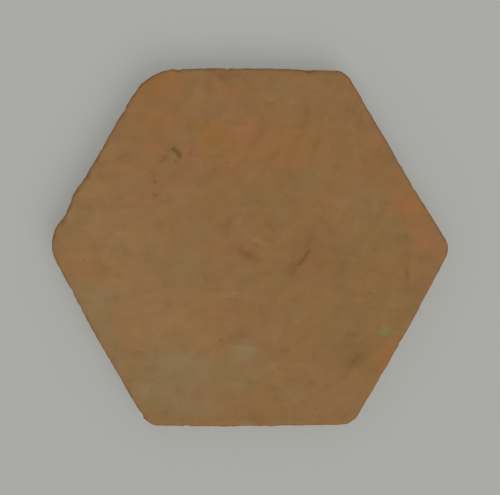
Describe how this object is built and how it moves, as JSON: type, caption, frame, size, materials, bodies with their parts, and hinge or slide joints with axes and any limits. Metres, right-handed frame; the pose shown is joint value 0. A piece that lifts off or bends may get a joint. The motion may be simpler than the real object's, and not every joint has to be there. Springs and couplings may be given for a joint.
{
  "type": "terracotta floor tile",
  "caption": "Handmade hexagonal terracotta floor tile with a slightly crowned face, rounded edges and uneven sides, laid face up on a mortar bed.",
  "frame": {"origin": "on the flat back of the tile, under the middle of its bounding box", "axes": "+Z out of the walking face, +X from corner to corner, +Y square to the top side"},
  "size_m": [0.2242, 0.202, 0.02],
  "materials": {
    "fired_clay": "unglazed fired clay, matt and sandy, hand-smoothed face, mottled yellow brown with orange at the edges"
  },
  "bodies": {
    "root": {"terracotta_tile": "fired_clay"}
  },
  "joints": []
}
